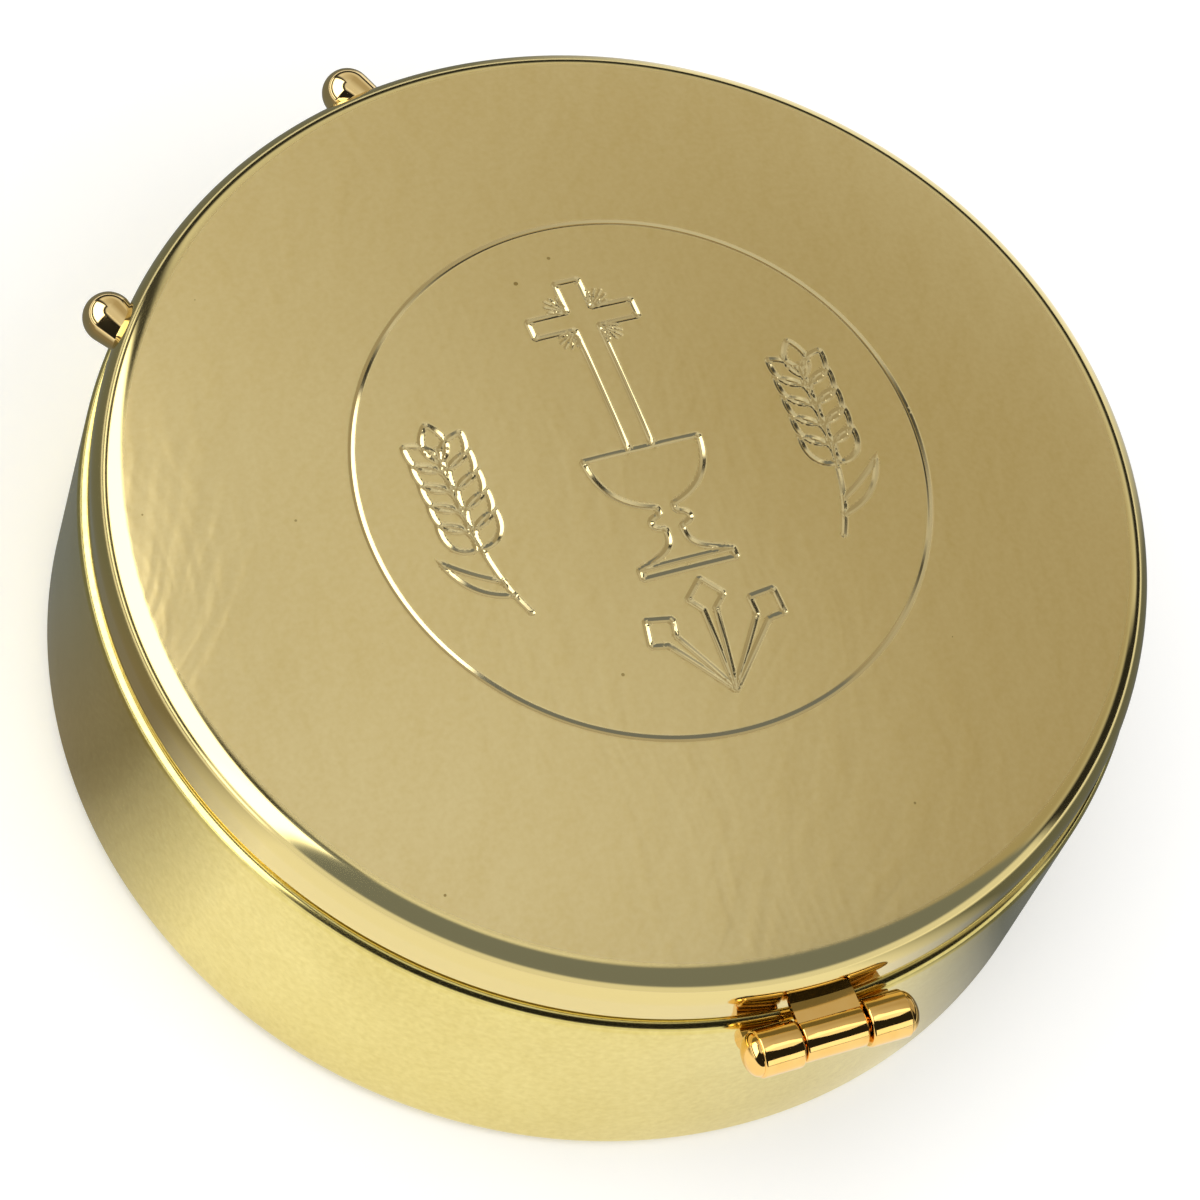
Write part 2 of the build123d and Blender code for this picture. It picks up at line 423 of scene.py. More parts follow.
def finish_piece(mesh, name, node, body):
    """Put a finished mesh in the scene in place of its solid, riding on its body."""
    mesh.name = name
    mesh.set_sharp_from_angle(angle=crease)
    piece = bpy.data.objects.new(name, mesh)
    bpy.context.scene.collection.objects.link(piece)
    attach(piece, body)
    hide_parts(node)
    mesh.calc_loop_triangles()
    print(name, "triangles", len(mesh.loop_triangles))
    return piece


# %% [markdown]
# ## The cup
# The base is drawn from one sheet: a flat underside, a small bend, a straight wall and a rounded
# lip.  The profile goes from the axis underneath, round the outside and back to the axis inside.

# %% Cup
steps = 360
rest_edge = wall_radius - cup_corner
cup_floor = cup_low.z + sheet
cup_profile = [(0, cup_low.z)]
cup_profile += run((0, cup_low.z), (rest_edge, cup_low.z), 6)
cup_profile += arc((rest_edge, cup_low.z + cup_corner), cup_corner, -90, 0, 12)
cup_profile += run((wall_radius, cup_low.z + cup_corner), (wall_radius, cup_high.z - cup_lip), 5)
cup_profile += arc((wall_radius - cup_lip, cup_high.z - cup_lip), cup_lip, 0, 90, 14)
cup_profile += [(inner_radius, cup_high.z)]
inner_turn = (inner_radius - cup_inner_corner, cup_floor + cup_inner_corner)
cup_profile += run((inner_radius, cup_high.z), (inner_radius, inner_turn[1]), 4)
cup_profile += arc(inner_turn, cup_inner_corner, 0, -90, 8)
cup_profile += run((inner_turn[0], cup_floor), (0, cup_floor), 6)
cup_profile += [(0, cup_floor)]
cup = finish_piece(turn(cup_profile, polished_gilt, steps), "cup", "base_cup", "base")

# %% [markdown]
# ## The collar
# A ring fixed inside the cup's mouth stands up above the seam, and the lid's skirt slips over it.
# Its step and its bevel show when the lid is open.

# %% Collar
collar_thickness = 0.9 * mm
lid_clearance = 0.15 * mm
collar_bore = inner_radius - collar_thickness
collar_neck = lid_inner - lid_clearance
collar_bevel = 0.25 * mm
collar_top = collar_high.z
collar_profile = [
    (collar_bore, collar_low.z),
    (inner_radius, collar_low.z),
    (inner_radius, cup_high.z),
    (collar_neck, cup_high.z),
    (collar_neck, collar_top - collar_bevel),
]
collar_profile += arc((collar_neck - collar_bevel, collar_top - collar_bevel), collar_bevel, 15, 90, 5)
collar_profile += [(collar_bore, collar_top), (collar_bore, collar_low.z)]
collar = finish_piece(
    turn(collar_profile, polished_gilt, steps), "collar", "base_collar", "base"
)

# %% [markdown]
# ## The medallion
# The lid carries a ring with a rayed cross over a chalice, two ears of wheat and three nails, all
# old and common church ornament, cut as fine V-grooves.  The strokes are drawn first as flat
# lines in millimetres, seen from above with the hinge at the bottom.

# %% Strokes of the ring, the cross and its rays
ring_radius = 14.45
ring_points = 420
ring_angles = [2 * math.pi * i / ring_points for i in range(ring_points + 1)]
strokes = [[(ring_radius * math.cos(a), ring_radius * math.sin(a)) for a in ring_angles]]

upright = 0.64
bar = 0.54
arm_reach = 2.8
arm_height = 8.72
cross_top = 11.05
chalice_rim = 0.95
half_cross = [
    (upright, chalice_rim),
    (upright, arm_height - bar),
    (arm_reach, arm_height - bar),
    (arm_reach, arm_height + bar),
    (upright, arm_height + bar),
    (upright, cross_top),
]
strokes.append(half_cross + [(-x, y) for x, y in reversed(half_cross)])

# Rays fan out of the four inner corners of the cross
ray_start = 0.38
rays = ((14, 0.95), (30, 1.15), (45, 1.25), (60, 1.15), (76, 0.95))
fine_strokes = []
for side, rise in ((1, 1), (-1, 1), (-1, -1), (1, -1)):
    corner_x = side * upright
    corner_y = arm_height + rise * bar
    for spread, ray_end in rays:
        ray_x = side * math.cos(math.radians(spread))
        ray_y = rise * math.sin(math.radians(spread))
        fine_strokes.append([(corner_x + ray_x * r, corner_y + ray_y * r) for r in (ray_start, ray_end)])
print("strokes so far", len(strokes) + len(fine_strokes))

# %% [markdown]
# The chalice and the wheat have curved outlines, so a helper samples a cubic curve.  An ear is
# one almond-shaped kernel set again and again on both sides of its stem.


# %% Strokes of the chalice, the wheat and the nails
def swept(start, pull, push, end, count=14):
    """Points along a cubic curve with two handles."""
    shares = [i / count for i in range(count + 1)]
    points = []
    for s in shares:
        weights = ((1 - s) ** 3, 3 * s * (1 - s) ** 2, 3 * s * s * (1 - s), s**3)
        corners = (start, pull, push, end)
        points.append(tuple(sum(w * c[axis] for w, c in zip(weights, corners)) for axis in (0, 1)))
    return points


def mirrored(points):
    """The same points on the other side of the middle line."""
    return [(-x, y) for x, y in points]


bowl_half = 3.1
shaft_half = 0.42
foot_half = 2.5
foot_top = -5.35
foot_bottom = -5.85
half_chalice = [(0, chalice_rim), (bowl_half, chalice_rim)]
half_chalice += swept((bowl_half, chalice_rim), (3.0, -1.3), (1.5, -2.1), (shaft_half, -2.35))
half_chalice += swept((shaft_half, -2.75), (1.25, -2.8), (1.25, -3.5), (shaft_half, -3.55), 10)
half_chalice += swept((shaft_half, -3.9), (0.5, -4.9), (1.5, -5.0), (foot_half, foot_top))
half_chalice += [(foot_half, foot_bottom), (0, foot_bottom)]
strokes += [half_chalice, mirrored(half_chalice)]
strokes.append([(-foot_half, foot_top), (foot_half, foot_top)])

kernel_length = 2.2
kernel_width = 0.62


def kernel(foot, heading):
    """Outline of one grain, from its foot along a heading in degrees."""
    one_side = swept((0, 0), (0.5, 1.35 * kernel_width), (1.5, 1.2 * kernel_width), (kernel_length, 0), 10)
    outline = one_side + [(x, -y) for x, y in reversed(one_side)]
    c = math.cos(math.radians(heading))
    s = math.sin(math.radians(heading))
    return [(foot[0] + x * c - y * s, foot[1] + x * s + y * c) for x, y in outline]


stem_top = (9.75, 2.4)
stem = swept((8.3, -6.0), (9.2, -4.2), (9.7, -2.4), stem_top, 24)
ear = [stem]
kernel_pairs = 5
pair_gap = 1.15
stem_lean = 0.03
stem_half = 0.12
for pair in range(kernel_pairs):
    pair_x = 9.62 + stem_lean * pair
    pair_y = -2.1 + pair_gap * pair
    ear += [kernel((pair_x + stem_half, pair_y), 52), kernel((pair_x - stem_half, pair_y), 128)]
ear.append(kernel((stem_top[0], 2.9), 90))
leaf_tip = (11.6, -2.3)
leaf = swept((8.75, -4.9), (10.3, -4.6), (11.2, -3.6), leaf_tip)
leaf += swept(leaf_tip, (10.6, -3.2), (9.9, -3.6), (9.05, -4.1))
ear.append(leaf)
strokes += ear + [mirrored(line) for line in ear]

nail_point = Vector((-0.03, -12.35))
neck_half = 0.32
neck_drop = 0.66
point_share = 0.1
nail_head = [(-neck_half, -neck_drop), (-0.95, 0), (0, 0.98), (0.95, 0), (neck_half, -neck_drop)]
for head in (Vector((-2.6, -8.7)), Vector((0.2, -7.45)), Vector((3.05, -8.6))):
    up = (head - nail_point).normalized()
    across = Vector((up.y, -up.x))
    outline = [head + across * x + up * y for x, y in nail_head]
    strokes.append([tuple(p) for p in outline])
    for edge in (-neck_half, neck_half):
        neck = head + across * edge - up * neck_drop
        strokes.append([tuple(neck), tuple(nail_point + across * edge * point_share)])

# Neighbouring curves share a point, which is kept once
strokes = [[a for a, b in zip(line, line[1:]) if math.dist(a, b) > 1e-6] + line[-1:] for line in strokes]
drawn = sum((Vector(b) - Vector(a)).length for line in strokes for a, b in zip(line, line[1:]))
print("strokes", len(strokes), "with", round(drawn), "mm of line")

# %% [markdown]
# ## The lid's engraved disc
# A groove 0.3 mm wide needs mesh rows finer than that, but only along the strokes.  So points are
# set in rows beside every stroke and sparsely elsewhere, and a Delaunay triangulation joins them.
# Points that crowd each other are left out, which keeps the triangles well shaped.

# %% Points along the strokes and the disc's triangles
disc_radius = 15.6
groove_half = 0.17
fine_half = 0.09
row_offsets = [0, 0.045, 0.09, 0.13, 0.17, 0.24]
fine_offsets = [0, 0.045, 0.09, 0.15]
row_step = 0.16
crowding = 0.034
cell_size = 0.25
end_points = 8
taken = {}


def settle(x, y, keep_off):
    """Keep a point unless another one is nearer than keep_off; returns whether it was kept."""
    cell = (math.floor(x / cell_size), math.floor(y / cell_size))
    reach = math.ceil(keep_off / cell_size)
    for i in range(cell[0] - reach, cell[0] + reach + 1):
        for j in range(cell[1] - reach, cell[1] + reach + 1):
            for other in taken.get((i, j), ()):
                if (other[0] - x) ** 2 + (other[1] - y) ** 2 < keep_off**2:
                    return False
    taken.setdefault(cell, []).append((x, y))
    return True


rim_points = [
    (disc_radius * math.cos(2 * math.pi * i / steps), disc_radius * math.sin(2 * math.pi * i / steps))
    for i in range(steps)
]
for x, y in rim_points:
    settle(x, y, 0)
beside = [(offset, line) for offset in row_offsets for line in strokes]
beside += [(offset, line) for offset in fine_offsets for line in fine_strokes]
for offset, line in beside:
    for start, end in zip(line, line[1:]):
        length = math.dist(start, end)
        count = max(1, round(length / row_step))
        along = ((end[0] - start[0]) / length, (end[1] - start[1]) / length)
        for i in range(count + 1):
            x = start[0] + along[0] * length * i / count
            y = start[1] + along[1] * length * i / count
            settle(x - along[1] * offset, y + along[0] * offset, crowding)
            settle(x + along[1] * offset, y - along[0] * offset, crowding)
    for x, y in (line[0], line[-1]):
        for i in range(end_points):
            turn_by = i * 2 * math.pi / end_points
            settle(x + offset * math.cos(turn_by), y + offset * math.sin(turn_by), crowding)

# Away from the strokes, rings of points with wide gaps are enough
ring_gap = 0.6
stroke_gap = 0.3
for ring in range(1, math.floor(disc_radius / ring_gap)):
    count = 6 * ring
    for i in range(count):
        turn_by = 2 * math.pi * (i + 0.5 * (ring % 2)) / count
        settle(ring * ring_gap * math.cos(turn_by), ring * ring_gap * math.sin(turn_by), stroke_gap)
plan = [Vector(p) for cell in taken.values() for p in cell]
flat_points, _, flat_faces, *_ = geometry.delaunay_2d_cdt(plan, [], [], 0, 1e-5)
print("disc points", len(flat_points), "triangles", len(flat_faces))

# %% [markdown]
# ## The engraving
# A graver cuts a V: deepest on the line and nothing at the groove's edge.  A second Geometry Nodes
# tree does the same.  It measures each point's distance to the nearest stroke, presses the point
# down in proportion and marks it as cut, so that the finish can shine there.

# %% Geometry Nodes tree that engraves
engraved = bpy.data.node_groups.new("engraved lid", "GeometryNodeTree")
engraved.is_modifier = True
for name, kind in (
    ("Lid", "Geometry"),
    ("Strokes", "Object"),
    ("Half Width", "Float"),
    ("Depth", "Float"),
    ("Finish", "Material"),
):
    engraved.interface.new_socket(name, in_out="INPUT", socket_type="NodeSocket" + kind)
engraved.interface.new_socket("Piece", in_out="OUTPUT", socket_type="NodeSocketGeometry")
given = add_node(engraved, "NodeGroupInput").outputs
drawing = add_node(engraved, "GeometryNodeObjectInfo", {"Object": given["Strokes"]}).outputs["Geometry"]
distance = add_node(
    engraved, "GeometryNodeProximity", {0: drawing}, target_element="EDGES"
).outputs["Distance"]
deep = add_node(engraved, "ShaderNodeMath", {0: given["Depth"], 1: -1.0}, operation="MULTIPLY").outputs[0]
press = add_node(
    engraved,
    "ShaderNodeMapRange",
    {"Value": distance, "From Min": 0.0, "From Max": given["Half Width"], "To Min": deep, "To Max": 0.0},
    interpolation_type="LINEAR",
).outputs[0]
down = add_node(engraved, "ShaderNodeCombineXYZ", {"Z": press}).outputs[0]
pressed = add_node(engraved, "GeometryNodeSetPosition", {"Geometry": given["Lid"], "Offset": down}).outputs[0]
in_groove = add_node(
    engraved, "ShaderNodeMath", {0: distance, 1: given["Half Width"]}, operation="LESS_THAN"
).outputs[0]
before = add_node(engraved, "GeometryNodeInputNamedAttribute", {"Name": "cut"}, data_type="FLOAT").outputs[0]
either = add_node(engraved, "ShaderNodeMath", {0: in_groove, 1: before}, operation="MAXIMUM").outputs[0]
marked = add_node(
    engraved,
    "GeometryNodeStoreNamedAttribute",
    {"Geometry": pressed, "Name": "cut", "Value": either},
    data_type="FLOAT",
    domain="POINT",
).outputs[0]
smooth = add_node(
    engraved, "GeometryNodeSetShadeSmooth", {"Geometry": marked, "Shade Smooth": True}
).outputs[0]
real = add_node(engraved, "GeometryNodeRealizeInstances", {0: smooth}).outputs[0]
finished = add_node(
    engraved, "GeometryNodeSetMaterial", {"Geometry": real, "Material": given["Finish"]}
).outputs[0]
add_node(engraved, "NodeGroupOutput", {0: finished})
print(engraved.name, "tree with", len(engraved.nodes), "nodes")

# %% [markdown]
# ## The lid
# The disc is lifted onto the dome and joined to the turned rest of the lid: the outer dome, the
# corner, the skirt with its rolled lip and the whole inside.  Then the tree cuts the strokes, and
# once more the finer rays, which are narrower and not so deep.


# %% Lid
def on_dome(x, y):
    """A flat point in metres lifted onto the outside of the dome."""
    return (x, y, dome_centre + math.sqrt(dome_radius**2 - x * x - y * y))


def dome_arc(inset, start, end, count):
    """Points along the dome's profile, drawn in by an inset, from one radius to another."""
    radii = [start + (end - start) * i / count for i in range(count + 1)]
    return [(r, dome_centre + math.sqrt((dome_radius - inset) ** 2 - r * r)) for r in radii]


# The corner's arc meets the dome where both have the same slope
slope = math.degrees(math.atan2(corner_height - dome_centre, corner_centre))
shoulder = corner_centre + lid_corner * math.cos(math.radians(slope))
lid_profile = dome_arc(0, disc_radius * mm, shoulder, 18)[:-1]
lid_profile += arc((corner_centre, corner_height), lid_corner, slope, 0, 28)
lid_profile += run((lid_radius, corner_height), (lid_radius, lid_low.z + skirt_lip), 3)
lid_profile += arc((lid_radius - skirt_lip, lid_low.z + skirt_lip), skirt_lip, 0, -90, 8)
lid_profile += [(lid_inner, lid_low.z), (lid_inner, corner_height)]
lid_profile += arc((corner_centre, corner_height), lid_corner - sheet, 0, slope, 12)[1:]
inner_shoulder = corner_centre + (lid_corner - sheet) * math.cos(math.radians(slope))
lid_profile += dome_arc(sheet, inner_shoulder, 0, 16)[1:]
lid_mesh = turn(lid_profile, satin_gilt, steps)

joined = bmesh.new()
joined.from_mesh(lid_mesh)
disc_corners = [joined.verts.new(on_dome(p.x * mm, p.y * mm)) for p in flat_points]
for face in flat_faces:
    joined.faces.new([disc_corners[i] for i in face])
bmesh.ops.remove_doubles(joined, verts=joined.verts, dist=2e-6)
joined.to_mesh(lid_mesh)
joined.free()
face_outwards(lid_mesh)

groove_depth = 0.075 * mm
fine_depth = 0.045 * mm
cuts = ((strokes, groove_half, groove_depth), (fine_strokes, fine_half, fine_depth))
for cut_lines, half_width, cut_depth in cuts:
    line_points = []
    line_edges = []
    for line in cut_lines:
        first = len(line_points)
        line_points += [on_dome(x * mm, y * mm) for x, y in line]
        line_edges += [(i, i + 1) for i in range(first, len(line_points) - 1)]
    stroke_mesh = bpy.data.meshes.new("strokes")
    stroke_mesh.from_pydata(line_points, line_edges, [])
    stroke_lines = bpy.data.objects.new("stroke_lines", stroke_mesh)
    bpy.context.scene.collection.objects.link(stroke_lines)
    graver = {
        "Strokes": stroke_lines,
        "Half Width": half_width * mm,
        "Depth": cut_depth,
        "Finish": satin_gilt,
    }
    lid_mesh = result_of(engraved, lid_mesh, graver)
    bpy.data.objects.remove(stroke_lines)
lid = finish_piece(lid_mesh, "lid", "lid_shell", "lid")

# %% [markdown]
# ## The hinge
# Three barrels sit on one line outside the wall.  The outer two belong to the cup and the middle
# one to the lid, and a pin runs through all three.  They are turned upright and then laid over
# onto the hinge's line.  Domed caps close the two ends.

# %% Barrels and caps of the hinge
hinge_steps = 96
knuckle_bevel = 0.12 * mm
pin_low, pin_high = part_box("hinge_pin")
hinge_line = (pin_low + pin_high) / 2
pin_radius = (pin_high.z - pin_low.z) / 2
lay_over = Matrix.Rotation(math.radians(90), 4, "Y")


def barrel(node, bore):
    """A tube with rolled ends that fills the box of its solid."""
    low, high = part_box(node)
    outer = (high.z - low.z) / 2
    half = (high.x - low.x) / 2
    edge = outer - knuckle_bevel
    profile = [(bore, -half)]
    profile += arc((edge, knuckle_bevel - half), knuckle_bevel, -90, 0, 6)
    profile += run((outer, knuckle_bevel - half), (outer, half - knuckle_bevel), 3)
    profile += arc((edge, half - knuckle_bevel), knuckle_bevel, 0, 90, 6)
    profile += [(bore, half), (bore, -half)]
    made = turn(profile, bright_gilt, hinge_steps)
    made.transform(Matrix.Translation((low + high) / 2) @ lay_over)
    return made


pin_clearance = 0.04 * mm
loose_bore = pin_radius + pin_clearance
for place_on_line, body, bore in (
    ("left", "base", pin_radius),
    ("right", "base", pin_radius),
    ("centre", "lid", loose_bore),
):
    knuckle = f"hinge_knuckle_{place_on_line}"
    finish_piece(barrel(knuckle, bore), f"knuckle_{place_on_line}", knuckle, body)

for hand, way in (("left", -1), ("right", 1)):
    low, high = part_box(f"hinge_cap_{hand}")
    cap_radius = (high.z - low.z) / 2
    cap_depth = high.x - low.x
    cap_profile = [(0, 0)] + arc((0, 0), (cap_radius, cap_depth), 0, 90, 16)
    cap_profile[-1] = (0, cap_depth)
    cap = turn(cap_profile, bright_gilt, hinge_steps)
    seat = low.x if way > 0 else high.x
    facing = Matrix.Rotation(math.radians(90 * way), 4, "Y")
    cap.transform(Matrix.Translation((seat, hinge_line.y, hinge_line.z)) @ facing)
    finish_piece(cap, f"cap_{hand}", f"hinge_cap_{hand}", "base")

# %% [markdown]
# The wedges that carry the barrels and the pin inside them keep the shape of their solids.  They
# only need the finish of the hinge.

# %% Finish of the pieces that keep their solids
for name in ("base_bearer_left", "base_bearer_right", "lid_bearer", "hinge_pin"):
    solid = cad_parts[name]
    solid.data.materials.clear()
    solid.data.materials.append(bright_gilt)
print("kept solids finished in", bright_gilt.name)

# %% [markdown]
# ## The lifting studs
# Each stud is a button with a ball end.  Its taper runs into the skirt, and its shank is riveted
# flush inside.  The taper is stretched along the stud's axis until its foot lies in the round of
# the skirt, and the shank's end follows the skirt inside, so nothing gapes or pokes through.

# %% Studs
stud_azimuth = math.radians(121.0)
stud_radius = 1.3 * mm
stud_taper = 6.0
stud_spacing = 18.9 * mm
stud_reach = 0.78 * mm
shank_radius = 0.5 * mm
rivet_lift = 0.03 * mm
stud_low, stud_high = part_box("lift_stud_left")
stud_height = (stud_low.z + stud_high.z) / 2
outward = Vector((math.cos(stud_azimuth), math.sin(stud_azimuth), 0))
sideways = Vector((-outward.y, outward.x, 0))
stud_out = math.sqrt(lid_radius**2 - (stud_spacing / 2) ** 2) + stud_reach
foot_depth = 1.6 * mm
shank_depth = 2 * foot_depth
shank_end_ring = 0.6 * shank_radius
slack = 0.01 * mm
stud_slope = math.radians(stud_taper)
taper_start = stud_radius * math.sin(stud_slope)
foot_radius = stud_radius * math.cos(stud_slope) - foot_depth * math.tan(stud_slope)
for hand, side in (("left", 1), ("right", -1)):
    profile = arc((0, 0), stud_radius, 90, -stud_taper, 26)
    profile[0] = (0, stud_radius)
    profile += run(profile[-1], (foot_radius, -foot_depth), 4)
    profile += [(foot_radius, -foot_depth), (shank_radius, -foot_depth)]
    profile += [(shank_radius, -shank_depth), (shank_end_ring, -shank_depth), (0, -shank_depth)]
    stud = turn(profile, stud_gilt, hinge_steps)
    middle = outward * stud_out + sideways * (side * stud_spacing / 2) + Vector((0, 0, stud_height))
    pointing = Matrix((sideways, Vector((0, 0, 1)), outward)).transposed().to_4x4()
    stud.transform(Matrix.Translation(middle) @ pointing)
    for vertex in stud.vertices:
        behind = (middle - vertex.co).dot(outward)
        past_start = behind - taper_start
        if past_start < slack:
            continue
        riveted = behind > foot_depth + slack
        seat = lid_inner - rivet_lift if riveted else lid_radius - sheet / 2
        off_axis = vertex.co.xy.dot(sideways.xy)
        seat_depth = stud_out - math.sqrt(seat**2 - off_axis**2)
        share = 1.0 if riveted else past_start / (foot_depth - taper_start)
        vertex.co += outward * (past_start - share * (seat_depth - taper_start))
    face_outwards(stud)
    finish_piece(stud, f"stud_{hand}", f"lift_stud_{hand}", "lid")

# %% [markdown]
# ## The studio
# Polished metal shows mostly what stands round it, so the studio matters as much as the finish.
# The floor and the world are white, to the camera, to mirrors and to glass alike.  Two large soft
# lamps light the box, and reflections don't see them.  Two small ones light the hinge and the
# studs alone and do show there, as the bright lines on round plated pieces.


# %% Floor, world and lamps
def seen_directly(tree):
    """A socket that is 1 for a ray from the camera, a mirror or glass, and 0 for scattered light."""
    path = add_node(tree, "ShaderNodeLightPath").outputs
    seen = path["Is Camera Ray"]
    for kind in ("Is Glossy Ray", "Is Transmission Ray"):
        seen = add_node(tree, "ShaderNodeMath", {0: seen, 1: path[kind]}, operation="MAXIMUM").outputs[0]
    return seen


camera_azimuth = -41.5
floor_mesh = bpy.data.meshes.new("floor")
floor_half = 2.5
floor_signs = ((-1, -1), (1, -1), (1, 1), (-1, 1))
floor_corners = [(floor_half * x, floor_half * y, 0) for x, y in floor_signs]
floor_mesh.from_pydata(floor_corners, [], [(0, 1, 2, 3)])
floor = bpy.data.objects.new("floor", floor_mesh)
bpy.context.scene.collection.objects.link(floor)

# Matt white paper: it scatters nine tenths of the light and keeps the object's shadow
paper = bpy.data.materials.new("white_paper")
paper.use_nodes = True
tree = paper.node_tree
tree.nodes.clear()
matt = add_node(tree, "ShaderNodeBsdfDiffuse", {"Color": linear("#f3f3f2")}).outputs[0]
paper_glow = 0.25
lift = add_node(
    tree, "ShaderNodeMath", {0: seen_directly(tree), 1: paper_glow}, operation="MULTIPLY"
).outputs[0]
lifted = add_node(tree, "ShaderNodeEmission", {"Strength": lift}).outputs[0]
both = add_node(tree, "ShaderNodeAddShader", {0: matt, 1: lifted}).outputs[0]
add_node(tree, "ShaderNodeOutputMaterial", {"Surface": both})
floor_mesh.materials.append(paper)

world = bpy.data.worlds.new("studio")
bpy.context.scene.world = world
world.use_nodes = True
tree = world.node_tree
tree.nodes.clear()
sky_light = 0.68
sky_level = add_node(
    tree, "ShaderNodeMapRange", {"Value": seen_directly(tree), "To Min": sky_light, "To Max": 1.0}
).outputs[0]
sky = add_node(tree, "ShaderNodeBackground", {"Strength": sky_level}).outputs[0]
add_node(tree, "ShaderNodeOutputWorld", {"Surface": sky})


def direction(azimuth, elevation):
    """Unit vector towards a place in the studio; azimuth 0 is the side of the hinge."""
    a = math.radians(azimuth)
    e = math.radians(elevation)
    return Vector((math.sin(a) * math.cos(e), -math.cos(a) * math.cos(e), math.sin(e)))


def soft_lamp(name, azimuth, elevation, distance, size, power, receivers=None):
    """A square soft lamp, away from the camera by an azimuth, that reflections don't see.

    With receivers it lights the pieces in that collection alone, and their reflections show it.
    """
    towards = direction(camera_azimuth + azimuth, elevation)
    lamp = bpy.data.lights.new(name, "AREA")
    lamp.size = size
    lamp.energy = power
    holder = bpy.data.objects.new(name, lamp)
    holder.location = towards * distance
    holder.rotation_mode = "QUATERNION"
    holder.rotation_quaternion = (-towards).to_track_quat("-Z", "Y")
    holder.visible_glossy = receivers is not None
    if receivers is not None:
        holder.light_linking.receiver_collection = receivers
    bpy.context.scene.collection.objects.link(holder)


small_parts = bpy.data.collections.new("small_parts")
for kind, places in (
    ("knuckle", ("left", "centre", "right")),
    ("cap", ("left", "right")),
    ("stud", ("left", "right")),
):
    for name in places:
        small_parts.objects.link(bpy.data.objects[f"{kind}_{name}"])
soft_lamp("hinge_strip", 62, 14, distance=0.5, size=0.2, power=0.18, receivers=small_parts)
soft_lamp("hinge_crest", 96, 66, distance=0.5, size=0.18, power=0.13, receivers=small_parts)
soft_lamp("key_lamp", 70, 55, distance=0.8, size=0.5, power=1.7)
soft_lamp("top_lamp", -60, 75, distance=0.8, size=0.6, power=1.8)
print("floor, world and", len(bpy.data.lights), "lamps")

# %% [markdown]
# ## Sheets that only reflections see
# A photographer puts cards round polished metal.  Here a card is a glowing sheet that the camera,
# the scattered light and the shadows pass by.  A sheet linked to some pieces is clear and only
# adds its glow, because a solid one would stand as a black wall before all the other pieces.


# %% Glowing sheets
def glowing_sheet(name, points, glows, columns, rows, fades=None, receivers=None):
    """A sheet on a grid of points with a glow at each, seen in reflections only.

    With fades it covers what lies behind it by that share.  With receivers it is clear and adds
    its glow, for the pieces in that collection alone.
    """
    faces = []
    for i in range(columns):
        for j in range(rows):
            low = i * (rows + 1) + j
            faces.append((low, low + rows + 1, low + rows + 2, low + 1))
    mesh = bpy.data.meshes.new(name)
    mesh.from_pydata(points, [], faces)
    glow = mesh.attributes.new("glow", "FLOAT_COLOR", "POINT")
    glow.data.foreach_set("color", [c for colour in glows for c in colour])
    cloth = bpy.data.materials.new(name + "_cloth")
    cloth.use_nodes = True
    tree = cloth.node_tree
    tree.nodes.clear()
    colour = add_node(tree, "ShaderNodeAttribute", attribute_name="glow").outputs["Color"]
    surface = add_node(tree, "ShaderNodeEmission", {"Color": colour}).outputs[0]
    if receivers is not None:
        clear = add_node(tree, "ShaderNodeBsdfTransparent").outputs[0]
        surface = add_node(tree, "ShaderNodeAddShader", {0: clear, 1: surface}).outputs[0]
    elif fades is not None:
        fade = mesh.attributes.new("fade", "FLOAT", "POINT")
        fade.data.foreach_set("value", fades)
        cover = add_node(tree, "ShaderNodeAttribute", attribute_name="fade").outputs["Fac"]
        clear = add_node(tree, "ShaderNodeBsdfTransparent").outputs[0]
        surface = add_node(tree, "ShaderNodeMixShader", {0: cover, 1: clear, 2: surface}).outputs[0]
    add_node(tree, "ShaderNodeOutputMaterial", {"Surface": surface})
    # Reflections find the sheet by themselves, so it is not sampled as a lamp
    cloth.cycles.emission_sampling = "NONE"
    mesh.materials.append(cloth)
    made = bpy.data.objects.new(name, mesh)
    bpy.context.scene.collection.objects.link(made)
    made.visible_camera = False
    made.visible_diffuse = False
    made.visible_shadow = False
    made.visible_transmission = False
    if receivers is not None:
        made.light_linking.receiver_collection = receivers


def share_inside(value, limits, feather):
    """How far a value is inside two limits: 0 at either limit and 1 past the feather."""
    return max(0.0, min(1.0, min(value - limits[0], limits[1] - value) / feather))


print("a card with a feather of 5 is at", share_inside(1, (0, 90), 5), "one degree inside its edge")

# %% [markdown]
# The studio's wall is one dome.  It starts white, and each card in the list is laid over the last:
# its azimuths from the camera's side, its elevations, its level, its two feathers and its tint.
# Limits past the horizon or the zenith mean that the card goes on there without a soft edge.
# Black flags near the camera and along the horizon draw the dark lines on the corners and in the
# seam, and a bright box stands at the left.  The front flag alone would leave the lid and the cup
# black, so each has a fill of its own there: grey and a bright horizon for the lid's corner and
# skirt, white for the cup's wall, and none for the cup's lip, which keeps the seam a thin line.

